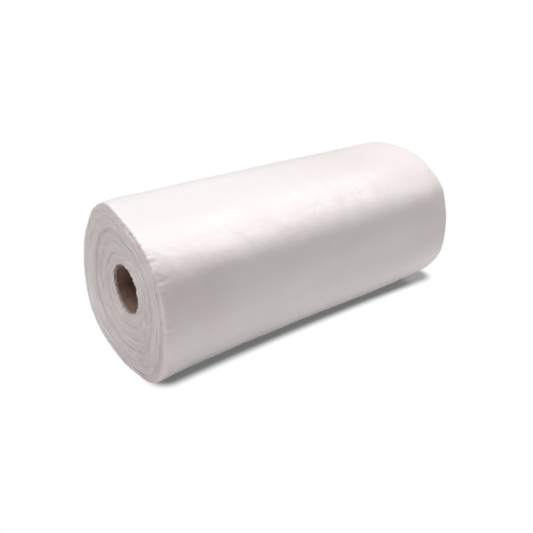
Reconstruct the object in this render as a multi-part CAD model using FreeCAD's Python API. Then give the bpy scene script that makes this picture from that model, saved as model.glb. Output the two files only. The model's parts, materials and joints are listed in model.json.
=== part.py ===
import FreeCAD, Part
import math
import os

# A roll of thin film bags wound on a cardboard core, lying on its side.
# X runs along the core, Y points to the back and Z points up.
# The origin is under the middle of the roll, on the surface that it lies on.

# Driving dimensions, in millimetres
bag_width = 305.0         # width of the wound film, which is the length of the roll
roll_diameter = 140.0     # winding diameter between the soft corners
slump = 3.0               # how far the sides spread, and how far the top sinks
corner_spread = 45.0      # half the angle that one soft corner takes, in degrees
press_in = 0.6            # how deep the surface presses the underside flat
edge_round = 3.0          # rounding of the film's outer edge at each end
end_dish = 4.7            # how far each end sinks in from its rim to the core
dish_rim = 8.0            # band at the rim of each end that does not sink
core_bore = 38.1          # inside diameter of the core, for a spindle of that nominal size
core_wall = 1.55          # thickness of the cardboard
core_recess = 6.5         # how far each end of the core lies inside the film's ends
winding_gap = 0.05        # radial gap between the cardboard and the first turn

# Soft corners that packing presses into the roll. Each has the angle where it
# stands, measured from the back through the top, and how far it stands out.
soft_corners = (
    {"angle": 56.0, "swell": 3.5},     # top back
    {"angle": 146.0, "swell": 4.5},    # top front
    {"angle": 239.0, "swell": 6.1},    # bottom front
    {"angle": 294.0, "swell": 5.0},    # bottom back
)
outline_points = 72       # points that carry the closed curve of the section

# Sizes that follow from the driving dimensions
core_outer = core_bore / 2 + core_wall
core_length = bag_width - 2 * core_recess
film_bore = core_outer + winding_gap


def outline_radius(angle):
    """Distance from the core's axis to the outer turn, at an angle in degrees."""
    radius = roll_diameter / 2 + slump * math.cos(math.radians(2 * angle))
    for corner in soft_corners:
        away = (angle - corner["angle"] + 180) % 360 - 180
        if abs(away) < corner_spread:
            radius += corner["swell"] * math.cos(math.radians(90 * away / corner_spread)) ** 2
    return radius


def outline(count):
    """Points round the section, as (y, z) from the core's axis."""
    points = []
    for step in range(count):
        angle = 360 * step / count
        radius = outline_radius(angle)
        points.append((radius * math.cos(math.radians(angle)),
                       radius * math.sin(math.radians(angle))))
    return points


# Where the core's axis lies, so that the roll is centred and rests on Z = 0
fine_outline = outline(20 * outline_points)
axis_y = -(max(y for y, z in fine_outline) + min(y for y, z in fine_outline)) / 2
axis_z = -(min(z for y, z in fine_outline) + press_in)
smallest_radius = min(math.hypot(y, z) for y, z in fine_outline)


def along_x(x):
    """A point on the core's axis."""
    return FreeCAD.Vector(x, axis_y, axis_z)


def cylinder(radius, length):
    """A cylinder about the core's axis, centred along X."""
    return Part.makeCylinder(radius, length, along_x(-length / 2), FreeCAD.Vector(1, 0, 0))


def dish(side):
    """The shallow cone that an end sinks by, at side -1 or +1."""
    outer = smallest_radius - dish_rim
    depth_at_axis = end_dish * outer / (outer - film_bore)
    return Part.makeCone(outer, 0, depth_at_axis, along_x(side * bag_width / 2),
                         FreeCAD.Vector(-side, 0, 0))


def film_roll():
    """All the turns of film as one solid, with its bore and its two ends."""
    curve = Part.BSplineCurve()
    curve.interpolate(Points=[FreeCAD.Vector(-bag_width / 2, axis_y + y, axis_z + z)
                              for y, z in outline(outline_points)], PeriodicFlag=True)
    face = Part.Face(Part.Wire(curve.toShape()))
    wound = face.extrude(FreeCAD.Vector(bag_width, 0, 0))
    end_edges = [edge for edge in wound.Edges
                 if abs(abs(edge.CenterOfMass.x) - bag_width / 2) < edge_round / 2]
    wound = wound.makeFillet(edge_round, end_edges)

    # The surface underneath presses the lowest turns flat
    reach = 2 * roll_diameter
    above = Part.makeBox(2 * bag_width, 2 * reach, reach,
                         FreeCAD.Vector(-bag_width, -reach, 0))
    wound = wound.common(above)

    wound = wound.cut(cylinder(film_bore, 2 * bag_width))
    return wound.cut(dish(-1)).cut(dish(1))


def core():
    """The cardboard tube that the film is wound on."""
    return cylinder(core_outer, core_length).cut(cylinder(core_bore / 2, 2 * core_length))


def save(name, shape):
    """Writes one piece and prints what it measures."""
    solid = shape.Solids[0]
    box = solid.BoundBox
    print(name, "solids", len(shape.Solids), "valid", solid.isValid(),
          "volume %.1f cm3" % (solid.Volume / 1000),
          "x %.2f %.2f" % (box.XMin, box.XMax),
          "y %.2f %.2f" % (box.YMin, box.YMax),
          "z %.2f %.2f" % (box.ZMin, box.ZMax))
    solid.exportStep("parts/" + name + ".step")


os.makedirs("parts", exist_ok=True)
save("film_roll", film_roll())
save("core", core())
print("core axis at y %.3f, z %.3f, core length %.2f" % (axis_y, axis_z, core_length))
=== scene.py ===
# %% [markdown]
# # A roll of produce bags
# The real object is one long web of thin, milky plastic bags, wound tight on a
# cardboard core. The plain model has its two solids: the wound film and the core.
# This lesson loads them as a fixed frame, and then makes a detailed piece for each:
# film with soft corners, dents and uneven turns, and board with its wound plies.

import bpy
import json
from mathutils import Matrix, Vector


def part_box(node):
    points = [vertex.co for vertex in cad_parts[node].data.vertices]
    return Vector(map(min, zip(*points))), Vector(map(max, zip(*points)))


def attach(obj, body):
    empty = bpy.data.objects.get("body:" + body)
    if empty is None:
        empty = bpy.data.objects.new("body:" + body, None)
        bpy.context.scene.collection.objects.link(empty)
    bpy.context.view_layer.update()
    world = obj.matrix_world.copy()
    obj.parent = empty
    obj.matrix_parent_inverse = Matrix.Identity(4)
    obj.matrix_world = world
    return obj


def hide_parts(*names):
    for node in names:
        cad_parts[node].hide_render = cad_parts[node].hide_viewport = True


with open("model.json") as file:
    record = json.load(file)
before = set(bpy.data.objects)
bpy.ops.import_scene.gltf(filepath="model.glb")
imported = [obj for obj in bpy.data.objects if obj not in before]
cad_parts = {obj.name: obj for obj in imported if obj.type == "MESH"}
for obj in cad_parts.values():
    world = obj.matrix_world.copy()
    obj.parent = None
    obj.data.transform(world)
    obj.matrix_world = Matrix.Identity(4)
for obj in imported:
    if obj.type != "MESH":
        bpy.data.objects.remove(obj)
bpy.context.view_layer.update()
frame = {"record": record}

# %% [markdown]
# Every size comes from the plain model: the box of each node, and the bore that the
# record states. The roll's own axis is the middle of the core, and it is the place
# that all the round shapes below are drawn from.

# %% Sizes that the plain model gives
import json
import math

import bpy
import numpy as np
from mathutils import Matrix, Vector

MM = 0.001
film_low, film_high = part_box("film_roll")
core_low, core_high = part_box("core")
bore_mount = next(m for m in frame["record"]["mounts"] if m["name"] == "core_bore")

half_width = film_high.x
floor_z = film_low.z
axis_y = (core_low.y + core_high.y) / 2
axis_z = (core_low.z + core_high.z) / 2
core_outer = (core_high.z - core_low.z) / 2
core_inner = bore_mount["dims"]["r_mm"] * MM
core_half = core_high.x
FILM_GAP = 0.05 * MM    # between the board and the first turn
film_bore = core_outer + FILM_GAP
print("axis y %.5f z %.5f, core radius %.5f" % (axis_y, axis_z, core_outer))

# %% [markdown]
# The camera looks down on the roll from the front, round towards its near end on the
# left. It stands a little left of the straight line to the middle of the roll, and a
# little below it. It is placed before any piece is made, because every look is judged
# through it.

# %% Camera
CAMERA_AZIMUTH, CAMERA_ELEVATION = -37.7, 25.7        # degrees
CAMERA_AWAY = 586.3                                   # millimetres from the roll's middle
CAMERA_LEFT, CAMERA_DOWN = 5.9, 21.1                  # millimetres
LENS, SENSOR = 43.3, 36                               # millimetres
NEAREST, FURTHEST = 0.01, 50                          # metres that it sees between


def look_from(azimuth, elevation):
    """Axes of a camera that stands at that azimuth and elevation, in degrees."""
    a, e = math.radians(azimuth), math.radians(elevation)
    back = Vector((math.sin(a) * math.cos(e), -math.cos(a) * math.cos(e), math.sin(e)))
    right = Vector((math.cos(a), math.sin(a), 0))
    return right, back.cross(right), back


right, up, back = look_from(CAMERA_AZIMUTH, CAMERA_ELEVATION)
camera = bpy.data.objects.new("camera", bpy.data.cameras.new("camera"))
bpy.context.scene.collection.objects.link(camera)
camera.data.sensor_width = SENSOR
camera.data.lens = LENS
camera.location = (Vector((0, axis_y, axis_z)) + back * CAMERA_AWAY * MM
                   - right * CAMERA_LEFT * MM - up * CAMERA_DOWN * MM)
camera.rotation_mode = "QUATERNION"
camera.rotation_quaternion = Matrix((right, up, back)).transposed().to_quaternion()
camera.data.clip_start, camera.data.clip_end = NEAREST, FURTHEST
bpy.context.scene.camera = camera
print("camera at", [round(v, 3) for v in camera.location])

# %% [markdown]
# Both materials and shapes are made of nodes here, and most nodes only do sums. A
# small class wraps the output of a node, so that a sum in Python adds the Math node
# that does it. One other method adds every other kind of node: it takes the type,
# the settings, and then the values or links of its sockets.

# %% A wire that sums can be written with
class Wire:
    """The output of a node. Sums on it add Math nodes."""

    def __init__(self, graph, socket):
        self.graph = graph
        self.socket = socket

    def math(self, operation, *others):
        sockets = dict(enumerate((self,) + others))
        return self.graph.add("ShaderNodeMath", {"operation": operation}, sockets)

    def reflected(self, operation, first):
        """A sum with this wire second, as in 1 - mask."""
        return self.graph.add("ShaderNodeMath", {"operation": operation}, {0: first, 1: self})

    def __add__(self, other):
        return self.math("ADD", other)

    def __sub__(self, other):
        return self.math("SUBTRACT", other)

    def __mul__(self, other):
        return self.math("MULTIPLY", other)

    def __truediv__(self, other):
        return self.math("DIVIDE", other)

    def __pow__(self, other):
        return self.math("POWER", other)

    def __rsub__(self, other):
        return self.reflected("SUBTRACT", other)

    def __rtruediv__(self, other):
        return self.reflected("DIVIDE", other)

    __radd__ = __add__
    __rmul__ = __mul__

    def sin(self):
        return self.math("SINE")

    def cos(self):
        return self.math("COSINE")

    def size(self):
        return self.math("ABSOLUTE")

    def least(self, other):
        return self.math("MINIMUM", other)

    def most(self, other):
        return self.math("MAXIMUM", other)

    def step(self, low, high):
        """Rises smoothly from 0 at low to 1 at high."""
        return self.graph.add("ShaderNodeMapRange", {"interpolation_type": "SMOOTHSTEP"},
                              {"Value": self, "From Min": low, "From Max": high})

# %% A graph that nodes are added to
class Graph:
    """A node tree, with one method that adds any node to it."""

    def __init__(self, tree):
        self.tree = tree

    def add(self, kind, settings=None, sockets=None, out=0):
        """Adds a node, and gives the output of that number, or the node if it has none."""
        node = self.tree.nodes.new(kind)
        for name, value in (settings or {}).items():
            setattr(node, name, value)
        for name, value in (sockets or {}).items():
            if isinstance(value, Wire):
                self.tree.links.new(value.socket, node.inputs[name])
            else:
                node.inputs[name].default_value = value
        return Wire(self, node.outputs[out]) if node.outputs else node

    def point(self, x, y, z):
        return self.add("ShaderNodeCombineXYZ", None, {"X": x, "Y": y, "Z": z})

    def parts(self, point):
        """The three parts of a point."""
        node = self.add("ShaderNodeSeparateXYZ", None, {0: point}).socket.node
        return [Wire(self, socket) for socket in node.outputs]

    def noise(self, point, scale=1.0, detail=2.0, roughness=0.5):
        """Smooth noise that swings about 0, between -1 and 1."""
        value = self.add("ShaderNodeTexNoise", None, {
            "Vector": point, "Scale": scale, "Detail": detail, "Roughness": roughness})
        return value * 2 - 1

    def mix(self, share, first, second):
        """A colour between two: the first where share is 0, the second where it is 1."""
        return self.add("ShaderNodeMix", {"data_type": "RGBA"}, {
            0: share, 6: first, 7: second}, out=2)

# %% [markdown]
# ## The film's finish
# Produce-bag film is thin and milky, with a satin sheen and a faint warm tint where
# many layers lie on each other. The side of the roll is one smooth sheet with fine
# crinkles. The ends are different: they show the cut edges of hundreds of layers, so
# they are duller, with fine lines that run round the core. One material does both,
# and reads which is which from values that the mesh carries.
#
# Each finish of this roll needs to know where a point lies along the roll and round
# the core. An angle would jump where a full turn ends, and the jump would show as a
# line. The cosine and the sine of the angle do not jump, so those are worked out.

# %% What a finish knows of a point
def new_material(name):
    material = bpy.data.materials.new(name)
    material.use_nodes = True
    material.node_tree.nodes.clear()
    return material, Graph(material.node_tree)


def between(share, near, far):
    return near + share * (far - near)


class Spot:
    """Where a point of a piece lies: along the roll, and round the core."""

    def __init__(self, graph):
        self.graph = graph
        self.place = graph.add("ShaderNodeTexCoord", out=3)
        self.along, y, z = graph.parts(self.place)
        y = y - axis_y
        z = z - axis_z
        reach = (y ** 2 + z ** 2) ** 0.5
        self.cosine = y / reach
        self.sine = z / reach

    def towards(self, degrees):
        """1 at an angle round the core, counted from the back through the top, and
        -1 across from it."""
        angle = math.radians(degrees)
        return self.cosine * math.cos(angle) + self.sine * math.sin(angle)

    def ringed(self, value, detail_round):
        """A point for noise that changes with the value, and little round the core."""
        return self.graph.point(value, self.cosine * detail_round, self.sine * detail_round)

    def mark(self, name):
        """A value that the mesh carries at its points."""
        return self.graph.add("ShaderNodeAttribute", {"attribute_name": name}, out=2)

# %% [markdown]
# The film is not one colour. Clouds of a warmer tint lie all over the side. On top a
# whiter painted highlight lies, which turns to painted shade towards the far end. Painted
# shade lies again below the near part of the front fold, and painted light on the lower
# front. That painted light climbs as it runs to the far end. Each tint is a mask with soft borders.

# %% Colours of the side
MILKY = (0.83, 0.775, 0.77, 1)
BLUSH = (0.82, 0.74, 0.735, 1)
TOP_PAINTED_HIGHLIGHT = (0.825, 0.797, 0.794, 1)
PAINTED_SHADE_TINT = (0.745, 0.668, 0.664, 1)
LOWER_PAINTED_LIGHT = (0.93, 0.86, 0.86, 1)
TOP_SHARE, LOWER_LIGHT_SHARE, FOLD_SHADE_SHARE = 0.75, 0.42, 0.55


def side_colour(g, spot, cloud):
    """The tints of the side: warm clouds, painted light and painted shade. Lengths along the roll
    are in metres from its middle.
    """
    colour = g.mix(cloud, MILKY, BLUSH)
    # Painted highlight on top, whiter near the near end, and painted shade towards the far end.
    top = spot.sine.step(0.72, 0.97)
    top_light_and_shade = g.mix(spot.along.step(-0.08, 0.17), TOP_PAINTED_HIGHLIGHT, PAINTED_SHADE_TINT)
    colour = g.mix(top * TOP_SHARE, colour, top_light_and_shade)
    # Painted light on the lower front, which climbs as it runs to the far end.
    climb = spot.along.step(-0.12, 0.14)
    tight = between(climb, spot.towards(216), spot.towards(187)).step(0.78, 1.0)
    colour = g.mix(tight * LOWER_LIGHT_SHARE, colour, LOWER_PAINTED_LIGHT)
    # Painted shade below the near part of the front fold.
    near_part = 1 - spot.along.step(-0.13, -0.07)
    shade_below_fold = spot.towards(172).step(0.84, 1.0) * near_part
    return g.mix(shade_below_fold * FOLD_SHADE_SHARE, colour, PAINTED_SHADE_TINT)

# %% [markdown]
# The ends take one warm tint. Their grooves are painted darker, as shade where little
# light gets in. Towards the rim at the back the cut edges are painted paler, a painted
# highlight, and one band of turns nearer the core takes painted shade. The film that
# faces the core takes painted shade, broken by tatters of film that catch the light.

# %% Colours of the ends
END_TINT = (0.855, 0.754, 0.744, 1)
GROOVE = (0.50, 0.45, 0.44, 1)
PALE_EDGE_AND_HIGHLIGHT = (0.93, 0.885, 0.88, 1)
BORE_SHADE_COLOUR = (0.32, 0.285, 0.28, 1)
GROOVE_SHARE, RIM_HIGHLIGHT_SHARE, BAND_SHADE_SHARE = 0.5, 0.95, 0.17


def end_colour(g, spot, colour, out, face, groove):
    """The side's colour, and on the ends a tint with painted shade in the grooves, a painted
    highlight towards the rim, and a band of painted shade.
    """
    # Painted shade in the grooves of the ends. On the web end the same value darkens the heat seal.
    colour = g.mix(groove * GROOVE_SHARE, g.mix(face, colour, END_TINT), GROOVE)
    # Painted highlight on the cut edges towards the rim at the back.
    patch = out.step(0.66, 0.76) * spot.towards(-11).step(0.80, 0.97) * face
    colour = g.mix(patch * RIM_HIGHLIGHT_SHARE, colour, PALE_EDGE_AND_HIGHLIGHT)
    # A band of painted shade on the turns towards the top back, nearer the core.
    shade_band = out.step(0.30, 0.40) * (1 - out.step(0.50, 0.58))
    shade_band = shade_band * spot.towards(52).step(0.2, 0.9)
    return g.mix(shade_band * face * BAND_SHADE_SHARE, colour, GROOVE)


def bore_shade(g, spot, out, face):
    """Painted shade on the film that faces the core: 1, and less where a tatter catches the light.
    """
    tatter = g.noise(spot.ringed(spot.along * 300, 5), detail=3)
    return (1 - face) * (1 - out * 40).most(0) * (0.75 + tatter * 0.8).least(1.0)

# %% [markdown]
# The finest relief is bump, because it is much finer than the squares of the mesh. It
# is all noise. Crinkles and streaks change fast along the roll and slowly round it, so
# they become lines that run round the side. The layers of the ends run round the core
# in the same way. In patches on the front, thin slanting scratches catch the light.

# %% Fine relief of the film
ROLL_RADIUS = 0.07    # about, in metres
SIDE_HEIGHT, END_HEIGHT = 2.0, 2.4


def scratches(g, spot, face):
    """Short slanting scratches in patches on the front of the side."""
    down = spot.sine * ROLL_RADIUS
    slant = g.point(spot.along * 260 + down * 130, down * 190, 0.0)
    lines = (1 - g.noise(slant, detail=1).size()) ** 10
    patches = g.noise(spot.place, scale=34, detail=1).step(0.1, 0.5)
    return lines * patches * (1 - face) * (0 - spot.cosine).step(0.45, 0.9)


def film_relief(g, spot, scratch, out, face):
    """Crinkles and streaks on the side, and the edges of the layers on the ends."""
    crinkle = g.noise(spot.ringed(spot.along * 150, 16), detail=4)
    ripple = g.noise(spot.place, scale=220, detail=3, roughness=0.6)
    streak = g.noise(spot.ringed(spot.along * 420, 3), detail=2)
    layers = g.noise(spot.ringed(out * 130, 2.5), detail=4, roughness=0.7)
    on_side = crinkle * 0.5 + ripple * 0.45 + streak * 0.25 + scratch * 0.5
    return on_side * SIDE_HEIGHT * (1 - face) + layers * face * END_HEIGHT

# %% [markdown]
# The film shines softly: a roughness of about 0.4 on the side, and more on the ends
# and near the far rim. Light also enters thin milky film and comes out close by, so
# a little of the shading is done below the surface.

# %% Film material
LIGHT_REACH = (1.0, 0.9, 0.85)    # red goes furthest into the film
SCRATCH_GLINT_SHARE = 0.32
SIDE_ROUGH = 0.37
MORE_ON_ENDS, MORE_IN_CLOUDS, MORE_AT_FAR_RIM = 0.23, 0.06, 0.16


def film_material():
    material, g = new_material("milky_film")
    spot = Spot(g)
    out, face, groove = (spot.mark(name) for name in ("out", "face", "groove"))
    cloud = g.noise(spot.place, scale=14, detail=3).step(-0.5, 0.5)
    scratch = scratches(g, spot, face)
    colour = end_colour(g, spot, side_colour(g, spot, cloud), out, face, groove)
    # Painted shade on the film that faces the core.
    colour = g.mix(bore_shade(g, spot, out, face), colour, BORE_SHADE_COLOUR)
    # Painted glint: the scratches are painted paler, as where they catch the light.
    colour = g.mix(scratch * SCRATCH_GLINT_SHARE, colour, PALE_EDGE_AND_HIGHLIGHT)
    bump = g.add("ShaderNodeBump", None, {
        "Height": film_relief(g, spot, scratch, out, face), "Distance": 0.12 * MM,
        "Strength": 0.8})
    far_rim = spot.along.step(0.07, 0.14)
    rough = (SIDE_ROUGH + face * MORE_ON_ENDS + cloud * MORE_IN_CLOUDS
             + far_rim * MORE_AT_FAR_RIM)
    shader = g.add("ShaderNodeBsdfPrincipled", None, {
        "Base Color": colour, "Roughness": rough, "Normal": bump, "IOR": 1.5,
        "Specular IOR Level": 0.62, "Subsurface Weight": 0.15,
        "Subsurface Radius": LIGHT_REACH, "Subsurface Scale": 4 * MM})
    g.add("ShaderNodeOutputMaterial", None, {"Surface": shader})
    return material


milky_film = film_material()
print("material", milky_film.name)

# %% [markdown]
# ## The rule that the roll follows
# The roll would be round, but packing has pressed it: it has slumped a little, and
# soft corners stand out, with a crisp fold along the top front. The near end is more
# square than the far end. The section is written as nodes, so the same rule can place
# the outside of the film and every turn inside it.

# %% Section of the roll
ROUND_NEAR, ROUND_FAR = 68.8 * MM, 70.0 * MM
SLUMP = 3.0 * MM

# Each soft corner: its angle and its height in millimetres at the near end, the same
# two at the far end, and how many degrees it spreads to each side
SOFT_CORNERS = (
    (66.0, 5.0, 56.0, 2.2, 37),      # top back
    (142.9, 3.9, 142.0, 2.75, 45),   # top front
    (153.6, 2.25, 156.4, 2.55, 28),  # the film drawn tight below it
    (150.2, 1.25, 149.7, 0.8, 15),   # the crisp fold between the two
    (235.0, 9.7, 210.0, 5.1, 43),    # bottom front
    (320.0, 4.3, 294.0, 4.6, 50),    # bottom back
    (274.0, 3.4, 279.0, 2.6, 23),    # the strip that it rests on
)

# The corners also change along the roll, most at the rims. Each change: the share of
# the length where it starts and where it is full, then its angle, height and spread
CHANGES = (
    (0.05, 0.00, 61.0, -1.7, 17),    # near rim: the top back is pressed in
    (0.14, 0.05, 150.2, -0.75, 15),  # near rim: the fold is softer
    (0.10, 0.17, 154.0, 0.8, 14),    # below the fold a swelling begins
    (0.28, 0.42, 154.0, -0.8, 14),   # and ends
    (0.78, 0.90, 149.5, 0.7, 12),    # towards the far rim the fold is crisper
    (0.90, 1.00, 112.0, 1.9, 34),    # far rim: fuller top
    (0.90, 1.00, 138.0, 1.1, 17),    # far rim: fuller top front
    (0.90, 1.00, 154.0, -1.0, 19),   # far rim: a hollow below the fold
    (0.88, 1.00, 178.0, 0.9, 18),    # far rim: fuller front
    (0.88, 1.00, 211.0, -1.2, 15),   # far rim: flatter bottom front
)


def hump(turn, middle, spread):
    """1 at the middle angle, and 0 from the spread outwards."""
    away = (turn - middle).math("WRAP", math.pi, -math.pi).size() / spread
    return (away.least(1.0) * (math.pi / 2)).cos() ** 2


def at_angle(turn, degrees, spread_degrees):
    return hump(turn, math.radians(degrees), math.radians(spread_degrees))


def section(turn, share):
    """Radius of the outer turn, where share is 0 at the near end and 1 at the far."""
    radius = between(share, ROUND_NEAR, ROUND_FAR) + SLUMP * (turn * 2).cos()
    for near_angle, near_lift, far_angle, far_lift, degrees in SOFT_CORNERS:
        middle = between(share, math.radians(near_angle), math.radians(far_angle))
        lift = between(share, near_lift * MM, far_lift * MM)
        radius = radius + lift * hump(turn, middle, math.radians(degrees))
    for start, full, angle, lift, degrees in CHANGES:
        radius = radius + share.step(start, full) * lift * MM * at_angle(turn, angle, degrees)
    return radius


print("section:", len(SOFT_CORNERS), "soft corners and", len(CHANGES), "changes along the roll")

# %% [markdown]
# The ends are not flat. Bands of turns have slid a little on each other, so an end
# is a set of low terraces with wavy borders, and a few deep grooves. The outer
# turns are wound tight and smooth, and the turns near the core are loose and ragged.

# %% Shape of an end
END_DISH = 4.7 * MM
EDGE_NEAR, MORE_IN_FRONT, EDGE_FAR = 1.2, 2.8, 1.6      # millimetres of rounding
RIM_ACROSS, RIM_UP, RIM_TWICE = 0.7, 1.5, 2.0           # millimetres of wave in the rim
SLOW_DRIFT, QUICK_DRIFT = 0.028, 0.034                  # of the way from core to rim
BROAD_BANDS, FINE_BANDS = 11, 31                        # terraces from core to rim
BROAD_SEED, FINE_SEED = 4.0, 9.0
SWELL, BROAD, FINE, CRUSH = 0.5, 0.42, 0.17, 0.2        # of how uneven the turns are
RAGGED, COLLAR = 1.8, 0.4                               # millimetres, next to the core

# Grooves between the bands of turns: place between core (0) and rim (1), width on the
# same scale, and depth from 0 to 1
GROOVES = (
    (0.575, 0.042, 1.0),
    (0.80, 0.024, 0.35),
    (0.40, 0.026, 0.45),
    (0.205, 0.030, 0.8),
)


def edge_round(turn, share):
    """Radius of the film's rounded edge, which is largest at the front of the near end."""
    front = (at_angle(turn, 190, 64) * 1.8).least(1.0)
    near_round = EDGE_NEAR * MM + front * MORE_IN_FRONT * MM
    return between(share, near_round, EDGE_FAR * MM)


def rim_wave(turn):
    """How far the rim of the near end lies inside its plane."""
    return (turn.cos() * RIM_ACROSS + turn.sin() * RIM_UP + (turn * 2).sin() * RIM_TWICE) * MM


def drift_of(g, turn, out, end):
    """The turns do not run quite round: their place between core and rim wanders."""
    slow = g.noise(g.point(turn.cos() * 1.3, turn.sin() * 1.3, end * 5), detail=1)
    quick = g.noise(g.point(turn.cos() * 5, turn.sin() * 5, out * 3 + end * 5), detail=2)
    loose = at_angle(turn, 200, 75) * 0.6 + (1 - out).most(0) ** 3
    return out + SLOW_DRIFT * slow + QUICK_DRIFT * quick * (0.35 + loose)


def terraces(g, place, count, seed):
    """Steps of random height from -1 to 1, with steep borders."""
    scaled = place * count
    band = scaled.math("FLOOR")
    levels = [g.add("ShaderNodeTexWhiteNoise", {"noise_dimensions": "1D"}, {"W": band + shift})
              for shift in (seed, seed + 1)]
    return between((scaled - band).step(0.72, 1.0), *levels) * 2 - 1


def end_grooves(drift):
    """Depth of the grooves, from 0 to about 1."""
    depth = 0
    for middle, width, share in GROOVES:
        depth = depth + share * (0 - ((drift - middle) / width) ** 2).math("EXPONENT")
    return depth


def end_height(g, turn, out, end, uneven):
    """How far the turns stand out of the dished end, in metres, and its grooves."""
    drift = drift_of(g, turn, out, end)
    grooves = end_grooves(drift) * (0.85 + 0.9 * at_angle(turn, 8, 85))
    shift = end * 3
    swell = g.noise(g.point(drift * 9, turn.cos() * 0.7 + shift, turn.sin() * 0.7), detail=1)
    broad = terraces(g, drift, BROAD_BANDS, BROAD_SEED)
    fine = terraces(g, drift, FINE_BANDS, FINE_SEED)
    crush = g.noise(g.point(drift * 30, turn.cos() * 4 + shift, turn.sin() * 4), detail=2)
    ragged = g.noise(g.point(out * 8, turn.cos() * 7 + shift, turn.sin() * 7), detail=3)
    calm = 1 - 0.65 * out.step(0.55, 0.75)
    steps = (broad * BROAD + fine * FINE + crush * CRUSH) * calm
    height = (swell * SWELL + steps - grooves) * uneven
    inner = (1 - out).most(0) ** 9
    collar = (1 - out * 15).most(0) * COLLAR * MM
    return height + ragged * inner * RAGGED * MM + collar, grooves


print("each end:", len(GROOVES), "grooves, and a dish of", END_DISH, "m")

# %% [markdown]
# ## The wound film
# The film starts as a plain ring of squares with no shape: each point only knows its
# turn about the core, how far out it lies, and how far along. A Geometry Nodes tree
# then moves every point by the rule. That suits a shape that follows a rule, because
# the sizes stay named inputs of the tree. There are two such rings, nested with a
# hair's gap: the inner turns with most of both ends, and the outer turns with the side
# and both rims. Each ring gets its own fine squares where its detail is. Each is closed
# both ways, so it is a sealed skin.

# %% Rings of squares for the film
PARTING = 0.93    # place between core and rim where the outer turns begin
PARTING_GAP = 0.002
INNER_STEPS, OUTER_STEPS = 340, 410                  # squares in one turn
NEAR_ROWS, FAR_ROWS, HIDDEN_ROWS = 150, 110, 6       # rows of the inner turns
RIM_ROWS, ROUND_ROWS = 14, 8                         # of the outer turns, at each end
NEAR_PART, NEAR_PART_ROWS, REST_ROWS = -0.9, 32, 147  # the side is finer up to -0.9

# What a row of points knows: its place along, from -1 to 1. How far it follows the
# rounded edge along and outwards. Its place between core and rim. 1 if on an end.
FILM_VALUES = ("along", "axial", "lift", "out", "face")


def evenly(low, high, count):
    return np.linspace(low, high, count)


def inner_rows():
    """Profile of the inner turns: near end, hidden outside, far end, film at the core."""
    rim = PARTING - PARTING_GAP
    rows = [(-1, -1, 0, out, 1) for out in evenly(0, rim, NEAR_ROWS)]
    rows += [(along, along, 0, rim, 0) for along in evenly(-0.98, 0.98, HIDDEN_ROWS)]
    rows += [(1, 1, 0, out, 1) for out in evenly(rim, 0, FAR_ROWS)]
    bore = (0.996, 0.985, 0.955, 0.8, 0.4)
    rows += [(along, along, 0, 0, 0) for along in (*bore, *(-place for place in reversed(bore)))]
    return np.array(rows, dtype=np.float32)


def outer_rows():
    """Profile of the outer turns: near rim, side, far rim, hidden inside."""
    steps = range(1, ROUND_ROWS + 1)
    quarter = [math.radians(90 * step / (ROUND_ROWS + 1)) for step in steps]
    rows = [(-1, -1, 0, out, 1) for out in evenly(PARTING, 1, RIM_ROWS)]
    rows += [(-1, -math.cos(a), math.sin(a), 1, math.cos(a) ** 2) for a in quarter]
    rows += [(along, 0, 1, 1, 0) for along in evenly(-1, NEAR_PART, NEAR_PART_ROWS)]
    rows += [(along, 0, 1, 1, 0) for along in evenly(NEAR_PART, 1, REST_ROWS)[1:]]
    rows += [(1, math.cos(a), math.sin(a), 1, math.cos(a) ** 2) for a in reversed(quarter)]
    rows += [(1, 1, 0, out, 1) for out in evenly(1, PARTING, RIM_ROWS)]
    rows += [(along, along, 0, PARTING, 0) for along in evenly(0.98, -0.98, HIDDEN_ROWS)]
    return np.array(rows, dtype=np.float32)


def ring_of_squares(name, rows, names, turn_steps):
    """A closed ring: each row of the profile runs once round the axis."""
    count = len(rows)
    point = np.arange(turn_steps)[:, None] * count + np.arange(count)[None, :]
    after = np.roll(point, -1, axis=0)
    faces = np.stack([point, after, np.roll(after, -1, axis=1), np.roll(point, -1, axis=1)], -1)
    mesh = bpy.data.meshes.new(name)
    mesh.from_pydata(np.zeros((turn_steps * count, 3)).tolist(), [], faces.reshape(-1, 4).tolist())
    turns = np.repeat(np.arange(turn_steps) * 2 * math.pi / turn_steps, count)
    values = {"turn": turns.astype(np.float32)}
    values.update({key: np.tile(rows[:, i], turn_steps) for i, key in enumerate(names)})
    for key, value in values.items():
        mesh.attributes.new(key, "FLOAT", "POINT").data.foreach_set("value", value)
    piece = bpy.data.objects.new(name, mesh)
    bpy.context.scene.collection.objects.link(piece)
    print(name, "points", len(mesh.vertices), "faces", len(mesh.polygons))
    return piece


inner_turns = ring_of_squares("inner_turns", inner_rows(), FILM_VALUES, INNER_STEPS)
outer_turns = ring_of_squares("outer_turns", outer_rows(), FILM_VALUES, OUTER_STEPS)

# %% [markdown]
# A tree needs a way in and a way out. The helper below starts a tree with named
# inputs, puts it on a piece with its values set, and turns the finished result back
# into a plain mesh. The inputs are set before the piece is first worked out.

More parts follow.
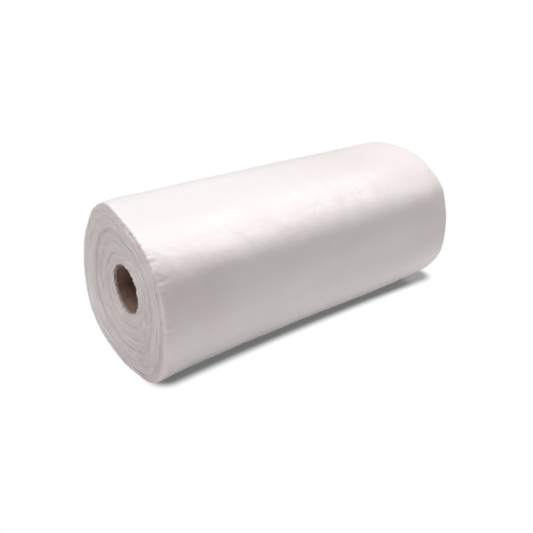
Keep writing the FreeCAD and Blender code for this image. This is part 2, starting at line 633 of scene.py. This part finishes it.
# %% Helpers for Geometry Nodes
class Shape(Graph):
    """A Geometry Nodes tree with named inputs."""

    def __init__(self, name, inputs):
        super().__init__(bpy.data.node_groups.new(name, "GeometryNodeTree"))
        face = self.tree.interface
        face.new_socket("Geometry", in_out="INPUT", socket_type="NodeSocketGeometry")
        face.new_socket("Geometry", in_out="OUTPUT", socket_type="NodeSocketGeometry")
        self.inputs = dict(inputs)
        self.keys = {}
        for key, value in inputs.items():
            kind = "NodeSocketInt" if isinstance(value, int) else "NodeSocketFloat"
            self.keys[key] = face.new_socket(key, in_out="INPUT", socket_type=kind).identifier
        self.way_in = self.tree.nodes.new("NodeGroupInput")
        self.way_out = self.tree.nodes.new("NodeGroupOutput")

    def take(self, name):
        """One of the tree's inputs."""
        return Wire(self, self.way_in.outputs[name])

    def value(self, name):
        """A value that the mesh carries at its points."""
        return self.add("GeometryNodeInputNamedAttribute", {"data_type": "FLOAT"}, {"Name": name})

    def keep(self, geometry, name, value):
        """Writes a value to the mesh's points, for the material to read."""
        return self.add("GeometryNodeStoreNamedAttribute", {"data_type": "FLOAT"}, {
            "Geometry": geometry, "Name": name, "Value": value})

    def move(self, geometry, position):
        return self.add("GeometryNodeSetPosition", None, {
            "Geometry": geometry, "Position": position})

    def finish(self, geometry, material, smooth=True):
        shaded = self.add("GeometryNodeSetShadeSmooth", None, {
            "Geometry": geometry, "Shade Smooth": smooth})
        real = self.add("GeometryNodeRealizeInstances", None, {"Geometry": shaded})
        done = self.add("GeometryNodeSetMaterial", None, {"Geometry": real, "Material": material})
        self.tree.links.new(done.socket, self.way_out.inputs[0])

    def shape(self, piece, **changed):
        """Runs the tree on a piece, and leaves a plain mesh in its place."""
        modifier = piece.modifiers.new("shape", "NODES")
        modifier.node_group = self.tree
        for key, value in {**self.inputs, **changed}.items():
            modifier[self.keys[key]] = value
        ready = piece.evaluated_get(bpy.context.evaluated_depsgraph_get())
        plain = bpy.data.meshes.new_from_object(ready)
        piece.modifiers.clear()
        piece.data = plain
        print(piece.name, "triangles", sum(len(p.vertices) - 2 for p in plain.polygons))
        return piece

# %% [markdown]
# The side has what thin film shows when it is wound by machine and then handled:
# shallow dents, a wavy front corner, tight rings, and patches of short slanting
# creases. At the near rim the film is crumpled where it was knocked, most at the
# front corners.

# %% Relief of the side
WAVES, RINGS = 0.9, 0.34      # millimetres
ALL_ROUND = 0.22              # millimetres of crumple in the whole near rim
FRAY, TOP_FRAY = 0.7, 1.3     # millimetres its edge is frayed, and more at the top front

# Where the near rim is crumpled: angle and spread in degrees, depth in millimetres
RIM_CRUMPLES = (
    (153, 20, 1.1),
    (207, 16, 1.6),
    (118, 34, 0.7),
    (182, 14, 0.7),
    (238, 14, 0.4),
)


def side_relief(g, turn, along):
    """Dents, waves and creases of the outer turns, in metres."""
    x = along * g.take("Half width") + g.take("Seed")
    y = turn.cos() * ROLL_RADIUS
    z = turn.sin() * ROLL_RADIUS
    dents = g.noise(g.point(x * 16, y * 17, z * 17), detail=2) * g.take("Dent depth")
    waves = g.noise(g.point(x * 26, y * 12, z * 12), detail=2) * at_angle(turn, 152, 34)
    rings = g.noise(g.point(x * 70, y * 9, z * 9), detail=2)
    # The creases slant: noise changes fast across them, and slowly down their length
    across = x * 0.85 + z * 0.5
    down = x * 0.5 - z * 0.85
    fold = 1 - g.noise(g.point(across * 95, down * 24, y * 40), detail=1).size()
    patch = g.noise(g.point(x * 13, y * 12, z * 12), detail=0).step(-0.05, 0.35)
    patch = patch * (0.25 + 0.75 * at_angle(turn, 165, 70))
    nudges = g.noise(g.point(across * 75, down * 40, y * 30), detail=2) * at_angle(turn, 161, 20)
    nudges = nudges * between(along.step(-0.9, 0.0), 0.10, 0.38)
    creases = fold ** 7 * patch * between(along.step(-0.8, 0.0), 0.12, 0.2)
    return dents + (waves * WAVES + nudges + rings * RINGS + creases) * MM


def rim_crumple(g, turn, near):
    """How far the crumpled near rim is pushed in, in metres."""
    depth = ALL_ROUND
    for angle, spread_degrees, most in RIM_CRUMPLES:
        depth = depth + most * at_angle(turn, angle, spread_degrees)
    crush = g.noise(g.point(turn.cos() * 11, turn.sin() * 11, near * 1.7), detail=3)
    fray = g.noise(g.point(turn.cos() * 34, turn.sin() * 34, 0.0), detail=2) * near ** 5
    fray = fray * (FRAY + TOP_FRAY * at_angle(turn, 118, 50))
    return ((0.35 + crush * 1.3) * depth * near + fray) * MM

# %% [markdown]
# The tree for the film is short, because the rules above do the work. First it finds
# the radius of the outer turn and the rounding of the edge. Then it adds what the
# side has and what an end has. At last it presses the underside flat on the surface
# that the roll lies on. Both rings go through the same tree.

# %% Shape the film
FILM_SIZES = {
    "Half width": half_width, "Bore": film_bore, "Dish": END_DISH,
    "Dent depth": 0.6 * MM, "Uneven turns": 1.0 * MM, "Floor": floor_z, "Seed": 0.19}
WEB_END = math.radians(12)    # where the loose end lies, at the back
WEB_STEP = 0.35 * MM          # how far the radius drops there
RIM_BAND = 15 * MM            # how far the crumpled rim reaches
KNOCK = 1.9                   # millimetres that a knock pushed the near rim in
LIP = 3.4                     # millimetres of raggedness in the turns next to the core
WAIST, NEAR_WAIST = 2.4, 1.1  # millimetres that the lower front is hollow
SWAY = 0.055                  # radians that the front fold wanders to and fro
film_shape = Shape("film_shape", FILM_SIZES)


def rim_share(g, along):
    """1 at the near rim, and 0 where the crumpled band ends."""
    return (1 - (along + 1) * g.take("Half width") / RIM_BAND).most(0)


def film_radius(g, turn, along, share, lift):
    """Radius of the outer turn with its relief, its waist and the step at the web's end."""
    flare = rim_share(g, along)
    hollow = (1 - ((along + 0.30) / 0.70) ** 2).most(0) * WAIST
    near_hollow = (1 - flare) * (0 - along).most(0) * NEAR_WAIST
    waist = (hollow + near_hollow) * at_angle(turn, 228, 62) * MM
    wound = (turn - WEB_END).math("WRAP", 2 * math.pi, 0.0) * (WEB_STEP / (2 * math.pi))
    x = along * g.take("Half width")
    sway = g.noise(g.point(x * 48, turn.cos() * 1.5, 4.0), detail=4, roughness=0.6)
    sway = sway * at_angle(turn, 151, 36) * (1 - flare) * lift * SWAY
    return section(turn + sway, share) + (side_relief(g, turn, along) - waist - wound) * lift


def end_sink(g, turn, out, share):
    """How far a turn's edge lies inside the plane of its end, and the grooves there."""
    height, grooves = end_height(g, turn, out, share, g.take("Uneven turns"))
    return (1 - out / 0.9).most(0) * g.take("Dish") - height, grooves


def build_film_shape(g):
    turn, along, axial, lift, out, face = (g.value(name) for name in ("turn", *FILM_VALUES))
    share = (along + 1) / 2
    edge = edge_round(turn, share)
    bore = g.take("Bore")
    near = rim_share(g, along) * out.step(0.8, 1.0)
    crumple = rim_crumple(g, turn, near)
    radius = bore + (film_radius(g, turn, along, share, lift) - edge - bore) * out + edge * lift
    lip = g.noise(g.point(turn.cos() * 5, turn.sin() * 5, share * 9), detail=4, roughness=0.65)
    ragged = (1 - out * 12).most(0) * face * (lip - 0.1) * LIP * MM
    knock = at_angle(turn, 150, 19) * near ** 1.5 * lift * KNOCK * MM
    radius = radius - crumple * lift * 0.7 - ragged - knock

    sink, grooves = end_sink(g, turn, out, share)
    wave = rim_wave(turn) * (1 - share) * out
    x = along * (g.take("Half width") - edge) + axial * edge
    x = x + wave - axial * sink * (face + (1 - face) * (1 - lift)) + crumple * (1 - along) / 2

    y = turn.cos() * radius + axis_y
    z = (turn.sin() * radius + axis_z).most(g.take("Floor"))
    moved = g.move(g.take("Geometry"), g.point(x, y, z))
    # The grooves' depth is kept for the material, which paints shade into them.
    marked = g.keep(moved, "groove", grooves.least(1.0) * face)
    g.finish(marked, milky_film)


build_film_shape(film_shape)
film_shape.shape(inner_turns)
film_shape.shape(outer_turns)

# %% [markdown]
# ## Edges of the turns
# On a real roll each turn's edge is a thin bright line that catches the light, and
# here and there it stands a little higher than its neighbours. A spiral strip of
# film follows the same rule as the ends and stands out of them by part of a
# millimetre. Slow noise lets it rise and sink, so most of it stays inside the roll.
# Geometry Nodes make the spiral, because turns, points and height are then inputs.

# %% Spiral strips of turn edges
EDGE_DULL = (0.82, 0.755, 0.745, 1)
WANDER, FRONT_WANDER = 0.02, 0.014    # of the way from core to rim
OUTER_SINK, FRONT_RISE = 0.07, 0.14   # of the height that the noise gives


def edge_material():
    material, g = new_material("turn_edge_film")
    place = g.add("ShaderNodeTexCoord", out=3)
    cloud = g.noise(place, scale=60, detail=2).step(-0.5, 0.5)
    colour = g.mix(cloud, PALE_EDGE_AND_HIGHLIGHT, EDGE_DULL)
    grain = g.noise(place, scale=900, detail=2)
    bump = g.add("ShaderNodeBump", None, {
        "Height": grain, "Distance": 0.05 * MM, "Strength": 0.5})
    shader = g.add("ShaderNodeBsdfPrincipled", None, {
        "Base Color": colour, "Roughness": 0.4 + cloud * 0.1, "Normal": bump, "IOR": 1.5,
        "Subsurface Weight": 0.2, "Subsurface Radius": LIGHT_REACH,
        "Subsurface Scale": 3 * MM})
    g.add("ShaderNodeOutputMaterial", None, {"Surface": shader})
    return material


def with_film_sizes(names, own):
    """Inputs for a tree: some that it shares with the film, and its own."""
    return {**{name: FILM_SIZES[name] for name in names}, **own}


turn_edge_film = edge_material()
edge_shape = Shape("edge_shape", with_film_sizes(
    ("Half width", "Bore", "Dish", "Uneven turns", "Floor"),
    {"End": 0.0, "Turns": 38, "Points per turn": 240, "First place": 0.03, "Last place": 0.985,
     "Width": 2 * MM, "Thickness": 0.45 * MM, "Stand": 0.12 * MM, "Rise": 1.7 * MM}))


def build_edge_shape(g):
    end = g.take("End")
    axial = end * 2 - 1
    count = g.take("Turns") * g.take("Points per turn")
    index = g.add("GeometryNodeInputIndex")
    turn = index / g.take("Points per turn") * (2 * math.pi)
    run = between(index / count, g.take("First place"), g.take("Last place"))
    wander = g.noise(g.point(turn.cos() * 5, turn.sin() * 5, run * 30 + end * 5), detail=3)
    loose = 0.3 + at_angle(turn, 200, 75) * 0.5 + (1 - run) ** 3
    front = at_angle(turn, 225, 80)
    out = run + wander * (WANDER + FRONT_WANDER * front) * loose
    edge = edge_round(turn, end)
    radius = g.take("Bore") + (section(turn, end) - edge - g.take("Bore")) * out
    sink, grooves = end_sink(g, turn, out, end)
    rise = g.noise(g.point(turn.cos() * 1.6, turn.sin() * 1.6, run * 60 + end * 7), detail=2)
    rise = rise - run.step(0.55, 0.75) * OUTER_SINK + front * FRONT_RISE
    wave = rim_wave(turn) * (1 - end) * out
    x = axial * (g.take("Half width") - sink + rise * g.take("Rise") + g.take("Stand")) + wave
    x = x - axial * (g.take("Width") / 2)
    y = turn.cos() * radius + axis_y
    z = (turn.sin() * radius + axis_z).most(g.take("Floor") + g.take("Thickness"))
    line = g.add("GeometryNodeMeshLine", None, {"Count": count})
    curve = g.add("GeometryNodeMeshToCurve", None, {"Mesh": g.move(line, g.point(x, y, z))})
    upright = g.add("GeometryNodeSetCurveNormal", {"mode": "FREE"}, {
        "Curve": curve, "Normal": (1.0, 0.0, 0.0)})
    strip = g.add("GeometryNodeCurvePrimitiveQuadrilateral", None, {
        "Width": g.take("Width"), "Height": g.take("Thickness")})
    ribbon = g.add("GeometryNodeCurveToMesh", None, {
        "Curve": upright, "Profile Curve": strip, "Fill Caps": True})
    g.finish(ribbon, turn_edge_film, smooth=False)


build_edge_shape(edge_shape)


def empty_piece(name):
    piece = bpy.data.objects.new(name, bpy.data.meshes.new(name))
    bpy.context.scene.collection.objects.link(piece)
    return piece


near_edges = edge_shape.shape(empty_piece("near_turn_edges"))
far_edges = edge_shape.shape(empty_piece("far_turn_edges"), End=1.0)
for piece in (near_edges, far_edges):
    corners = [Vector(c) for c in piece.bound_box]
    print(piece.name, [round(v, 4) for v in (*corners[0], *corners[6])])

# %% [markdown]
# ## The end of the web
# Bags tear off the roll one by one, so the last one ends in a torn line of small
# ties, with the bag's heat-sealed bottom a few millimetres in from it. Here that end
# lies at the back of the roll. A grid follows the side's own relief a hair above it
# and dips into it where the film runs on. The ties and the seal are part of the
# rule, so their pitch and width are inputs. The sheet is then thickened and closed.

# %% Web end
SEAL_RISE, TORN, CURL, HAIR, DIP = 0.16, 0.35, 1.3, 0.05, 0.5    # millimetres
web_shape = Shape("web_shape", with_film_sizes(
    ("Half width", "Dent depth", "Seed"),
    {"Round": ROUND_FAR, "Strip": 14 * MM, "Thickness": 0.25 * MM, "Tie pitch": 5.0 * MM,
     "Tie length": 1.5 * MM, "Seal place": 5.0 * MM, "Seal width": 1.1 * MM,
     "Columns": 620, "Rows": 20}))


def build_web_shape(g):
    grid = g.add("GeometryNodeMeshGrid", None, {
        "Size X": 2.0, "Size Y": 1.0, "Vertices X": g.take("Columns"), "Vertices Y": g.take("Rows")})
    across, over = g.parts(g.add("GeometryNodeInputPosition"))[:2]
    along = across * 0.996
    over = over + 0.5
    x = along * g.take("Half width")
    tie = (x / g.take("Tie pitch")).math("FRACT")
    tooth = (tie.step(0.1, 0.3) * (1 - tie.step(0.6, 0.8))) * g.take("Tie length")
    torn = g.noise(g.point(x * 160, 0.0, 0.0), detail=2) * TORN * MM
    inwards = over * g.take("Strip") - (tooth + torn) * (1 - over * 4).most(0)
    turn = WEB_END + inwards / g.take("Round")
    ridge = ((inwards - g.take("Seal place")) / g.take("Seal width")) ** 2
    seal = (0 - ridge).math("EXPONENT") * SEAL_RISE * MM
    lifted = 0.4 + g.noise(g.point(x * 25, 3.0, 0.0))
    curl = (1 - over * 3).most(0) ** 2 * lifted * CURL * MM
    share = (along + 1) / 2
    radius = film_radius(g, turn, along, share, 1.0) + seal + curl.most(0)
    dip = over.step(0.75, 1.0) * DIP * MM
    radius = radius + HAIR * MM - dip
    wave = rim_wave(turn) * (1 - share)
    place = g.point(x + wave, turn.cos() * radius + axis_y, turn.sin() * radius + axis_z)
    sheet = g.move(grid, place)
    raised = g.add("GeometryNodeExtrudeMesh", {"mode": "FACES"}, {
        "Mesh": sheet, "Offset Scale": g.take("Thickness"), "Individual": False})
    under = g.add("GeometryNodeFlipFaces", None, {"Mesh": sheet})
    join = g.tree.nodes.new("GeometryNodeJoinGeometry")
    g.tree.links.new(raised.socket, join.inputs[0])
    g.tree.links.new(under.socket, join.inputs[0])
    closed = g.add("GeometryNodeMergeByDistance", None, {
        "Geometry": Wire(g, join.outputs[0]), "Distance": 0.005 * MM})
    for name, value in {"out": 1.0, "face": 0.0, "groove": seal / (0.5 * MM)}.items():
        closed = g.keep(closed, name, value)
    g.finish(closed, milky_film)


build_web_shape(web_shape)
web_end = web_shape.shape(empty_piece("web_end"))

# %% [markdown]
# ## The core
# The core is spiral-wound board: strips of paper glued on top of each other in a
# helix. Inside the bore the last strip's edges show as a slanting seam, the surface
# is fibrous and mottled, and the cut ends show the plies as fine rings. The tube is
# another ring of squares, and the seam's rule is a helix whose lead is an input.

# %% Board material
BROWN_PAPER = (0.37, 0.242, 0.182, 1)
DARK_PAPER = (0.20, 0.122, 0.09, 1)
CUT_BOARD = (0.40, 0.31, 0.26, 1)


def board_material():
    material, g = new_material("wound_board")
    spot = Spot(g)
    wall, face, seam = (spot.mark(name) for name in ("wall", "face", "seam"))
    cloud = g.noise(spot.place, scale=90, detail=4, roughness=0.65).step(-0.45, 0.45)
    fibre = g.noise(spot.ringed(spot.along * 260, 30), detail=4)
    shade = (cloud * 0.65 + (fibre * 0.5 + 0.5) * 0.35).least(1.0)
    bore = g.mix(seam * 0.8, g.mix(shade, DARK_PAPER, BROWN_PAPER), DARK_PAPER)
    plies = g.noise(spot.ringed(wall * 14, 3), detail=2)
    cut = g.mix((plies * 1.2 + 0.5).least(1.0).most(0), CUT_BOARD, BROWN_PAPER)
    colour = g.mix(face, bore, cut)
    bump = g.add("ShaderNodeBump", None, {
        "Height": fibre * 0.7 + cloud * 0.3 + plies * face, "Distance": 0.15 * MM,
        "Strength": 0.8})
    shader = g.add("ShaderNodeBsdfPrincipled", None, {
        "Base Color": colour, "Roughness": 0.86 + fibre * 0.08, "Normal": bump, "IOR": 1.45})
    g.add("ShaderNodeOutputMaterial", None, {"Surface": shader})
    return material


wound_board = board_material()
print("material", wound_board.name)

# %% Core tube
CUT_ROWS, OUTSIDE_ROWS, BORE_ROWS, CORE_STEPS = 7, 12, 240, 150
FUZZ, LAP_STEP = 0.06, 0.08    # millimetres


def core_rows():
    """Profile of the tube as (along, wall, face): near cut, outside, far cut, bore."""
    rows = [(-1, wall, 1) for wall in evenly(0, 1, CUT_ROWS)]
    rows += [(along, 1, 0) for along in evenly(-0.999, 0.999, OUTSIDE_ROWS)]
    rows += [(1, wall, 1) for wall in evenly(1, 0, CUT_ROWS)]
    rows += [(along, 0, 0) for along in evenly(0.999, -0.999, BORE_ROWS)]
    return np.array(rows, dtype=np.float32)


core_tube = ring_of_squares("core_tube", core_rows(), ("along", "wall", "face"), CORE_STEPS)
core_shape = Shape("core_shape", {
    "Half length": core_half, "Inner": core_inner, "Outer": core_outer, "Lead": 74 * MM,
    "Seam width": 1.1 * MM, "Seam depth": 0.3 * MM, "Ragged": 0.12 * MM})


def build_core_shape(g):
    turn, along = g.value("turn"), g.value("along")
    wall, face = g.value("wall"), g.value("face")
    x = along * g.take("Half length")
    lap = (x / g.take("Lead") - turn / (2 * math.pi)).math("FRACT") - 0.5
    seam = (0 - (lap * g.take("Lead") / g.take("Seam width")) ** 2).math("EXPONENT")
    seam = seam * (1 - wall) * (1 - face)
    rough = g.noise(g.point(x * 130, turn.cos() * 4, turn.sin() * 4), detail=3) * FUZZ * MM
    wound = lap.step(0.0, 0.02) * LAP_STEP * MM * (1 - wall) * (1 - face)
    radius = between(wall, g.take("Inner"), g.take("Outer"))
    radius = radius + seam * g.take("Seam depth") + (rough.size() + wound) * (1 - wall)
    nick = g.noise(g.point(turn.cos() * 9, turn.sin() * 9, along * 3), detail=3)
    x = x - along * (0.5 + nick) * face * g.take("Ragged")
    place = g.point(x, turn.cos() * radius + axis_y, turn.sin() * radius + axis_z)
    marked = g.keep(g.move(g.take("Geometry"), place), "seam", seam)
    g.finish(marked, wound_board)


build_core_shape(core_shape)
core_shape.shape(core_tube)

# %% [markdown]
# ## The floor and the light
# A plain pale floor, a broad soft light overhead and an even glow all round. Close
# to the roll the floor is darker to the camera than to the light: a painted shadow,
# laid on the shadow that the roll casts, so that the narrow shadow under the roll reads.
# A little way out it fades to plain white.

# %% Floor
# Painted shadow: close to the roll the camera sees the floor this dark.
FLOOR_PAINTED_SHADOW = (0.3, 0.3, 0.3, 1)       # what the camera sees close to the roll
FLOOR_LIT = (0.96, 0.96, 0.96, 1)      # what the light falls on
FLOOR_SIZE = 4.0                       # metres from the middle to a side
SHADE_STARTS, SHADE_ENDS = 20, 12      # millimetres inside the near end, past the far end
SHADE_HALF, SHADE_WAIST = 0.4, 3       # of half the roll's depth, less millimetres midway
FADE_FROM, FADE_TO = 10, 22            # millimetres out from the shaded strip
FLOOR_HAZE = 0.14                      # of plain white, in the shade


def beyond_roll(x, y):
    """How far a point of the floor lies outside the strip of painted shadow along the roll."""
    near_side = film_low.x + SHADE_STARTS * MM - x
    far_side = x - film_high.x - SHADE_ENDS * MM
    beyond_x = near_side.most(far_side).most(0)
    waist = (1 - (x / film_high.x) ** 2 * 1.3) * SHADE_WAIST * MM
    beyond_y = (y.size() - film_high.y * SHADE_HALF + waist).most(0)
    return (beyond_x ** 2 + beyond_y ** 2) ** 0.5


def floor_material():
    material, g = new_material("pale_floor")
    x, y = g.parts(g.add("ShaderNodeTexCoord", out=3))[:2]
    seen = g.add("ShaderNodeLightPath", out=0)
    matt = g.add("ShaderNodeBsdfDiffuse", None, {"Color": g.mix(seen, FLOOR_LIT, FLOOR_PAINTED_SHADOW)})
    white = g.add("ShaderNodeEmission", None, {"Color": (1, 1, 1, 1), "Strength": 1.0})
    fade = beyond_roll(x, y).step(FADE_FROM * MM, FADE_TO * MM)
    far = between(fade, FLOOR_HAZE, 1.0) * seen
    shader = g.add("ShaderNodeMixShader", None, {0: far, 1: matt, 2: white})
    g.add("ShaderNodeOutputMaterial", None, {"Surface": shader})
    return material


def plain_floor(size):
    mesh = bpy.data.meshes.new("floor")
    corners = [(-size, -size), (size, -size), (size, size), (-size, size)]
    mesh.from_pydata([(x, y, floor_z) for x, y in corners], [], [(0, 1, 2, 3)])
    mesh.materials.append(floor_material())
    floor = bpy.data.objects.new("floor", mesh)
    bpy.context.scene.collection.objects.link(floor)
    return floor


floor = plain_floor(FLOOR_SIZE)
print(floor.name, "under the roll,", FLOOR_SIZE * 2, "m wide")

# %% Lights
LAMP_X, LAMP_Y, LAMP_HEIGHT = 0.075, 0.06, 1.1    # metres
LAMP_WIDTH, LAMP_DEPTH = 2.01, 0.6                # metres
LAMP_POWER = 18.15                                # watts
GLOW = 0.125                                      # of plain white, all round


def soft_light(name, place, aim, width, depth, power):
    lamp = bpy.data.lights.new(name, "AREA")
    lamp.shape = "RECTANGLE"
    lamp.size, lamp.size_y = width, depth
    lamp.energy = power
    holder = bpy.data.objects.new(name, lamp)
    holder.location = place
    holder.rotation_mode = "QUATERNION"
    holder.rotation_quaternion = (Vector(aim) - Vector(place)).to_track_quat("-Z", "Y")
    bpy.context.scene.collection.objects.link(holder)


def glow(strength):
    """An even glow on the object, behind which the camera sees plain white."""
    world = bpy.data.worlds.new("glow")
    world.use_nodes = True
    world.node_tree.nodes.clear()
    g = Graph(world.node_tree)
    seen = g.add("ShaderNodeLightPath", out=0)
    level = between(seen, strength, 1.0)
    shade = g.add("ShaderNodeBackground", None, {"Color": (1, 1, 1, 1), "Strength": level})
    g.add("ShaderNodeOutputWorld", None, {"Surface": shade})
    bpy.context.scene.world = world


soft_light("overhead", (LAMP_X, LAMP_Y, LAMP_HEIGHT), (LAMP_X, LAMP_Y, 0),
           LAMP_WIDTH, LAMP_DEPTH, LAMP_POWER)
glow(GLOW)
print("lamp", LAMP_POWER, "W, glow", GLOW)
bpy.context.scene.view_settings.view_transform = "Standard"

# %% [markdown]
# ## Attach the pieces
# Each finished piece rides on the one body. The two rings of turns stand for the plain
# film, and the tube stands for the plain core, so the plain parts are hidden.

# %% Finish
for piece in (inner_turns, outer_turns, near_edges, far_edges, web_end):
    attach(piece, "root")
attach(core_tube, "root")
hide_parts("core")
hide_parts("film_roll")
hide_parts("film_roll")
